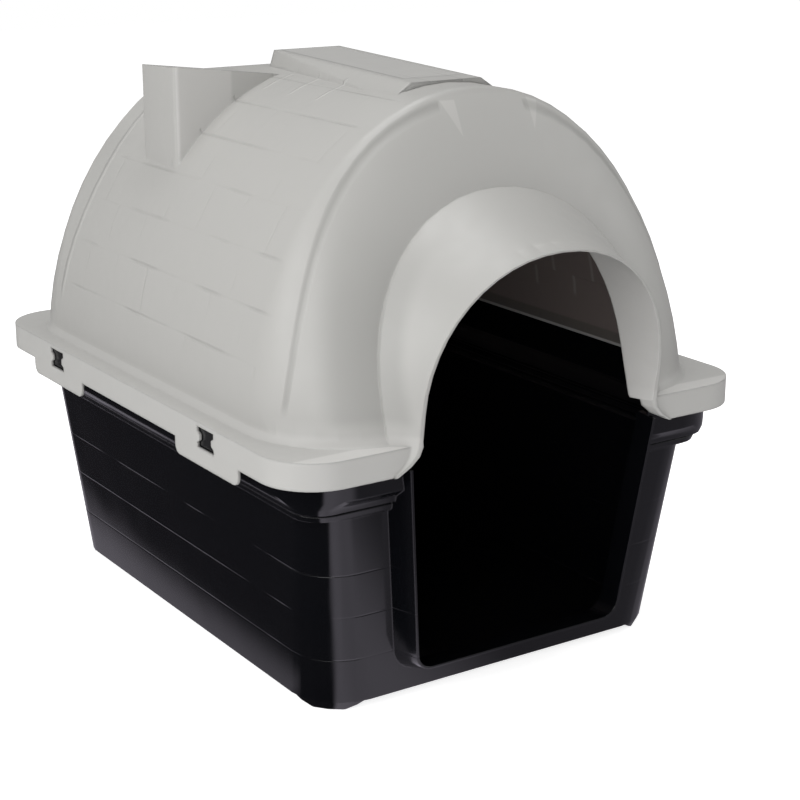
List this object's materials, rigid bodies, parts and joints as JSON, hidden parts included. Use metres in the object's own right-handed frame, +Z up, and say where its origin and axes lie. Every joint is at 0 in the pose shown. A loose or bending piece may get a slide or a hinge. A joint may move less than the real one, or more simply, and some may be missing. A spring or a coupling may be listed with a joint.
{
  "type": "igloo pet house",
  "caption": "Two-piece moulded pet house: tapered tub with an open doorway, vaulted lift-off roof with a hood over the door and a chimney, held by side snap latches.",
  "frame": {"origin": "on the floor, under the middle of the bounding box", "axes": "+Z up, -Y out of the doorway, +X to the right of someone who looks at the rear wall from inside the doorway"},
  "size_m": [0.49, 0.6298, 0.5336],
  "materials": {
    "tub_plastic": "gloss black, moulded in colour",
    "roof_plastic": "satin warm grey, moulded in colour",
    "latch_plastic": "semi-gloss black"
  },
  "bodies": {
    "tub": {"base_tub": "tub_plastic"},
    "roof": {"roof_shell": "roof_plastic"},
    "latch_front_left": {"latch_front_left": "latch_plastic"},
    "latch_front_right": {"latch_front_right": "latch_plastic"},
    "latch_rear_left": {"latch_rear_left": "latch_plastic"},
    "latch_rear_right": {"latch_rear_right": "latch_plastic"}
  },
  "joints": [
    {"name": "roof_lift", "type": "slide", "parent": "tub", "child": "roof", "axis": [0, 0, 1], "range_m": [0, 0.15]},
    {"name": "latch_front_left_press", "type": "hinge", "parent": "tub", "child": "latch_front_left", "pos_m": [-0.2377, -0.14261, 0.2171], "axis": [0, 1, 0], "range_deg": [-5, 6]},
    {"name": "latch_front_right_press", "type": "hinge", "parent": "tub", "child": "latch_front_right", "pos_m": [0.2377, -0.14261, 0.2171], "axis": [0, -1, 0], "range_deg": [-5, 6]},
    {"name": "latch_rear_left_press", "type": "hinge", "parent": "tub", "child": "latch_rear_left", "pos_m": [-0.2377, 0.16939, 0.2171], "axis": [0, 1, 0], "range_deg": [-5, 6]},
    {"name": "latch_rear_right_press", "type": "hinge", "parent": "tub", "child": "latch_rear_right", "pos_m": [0.2377, 0.16939, 0.2171], "axis": [0, -1, 0], "range_deg": [-5, 6]}
  ]
}
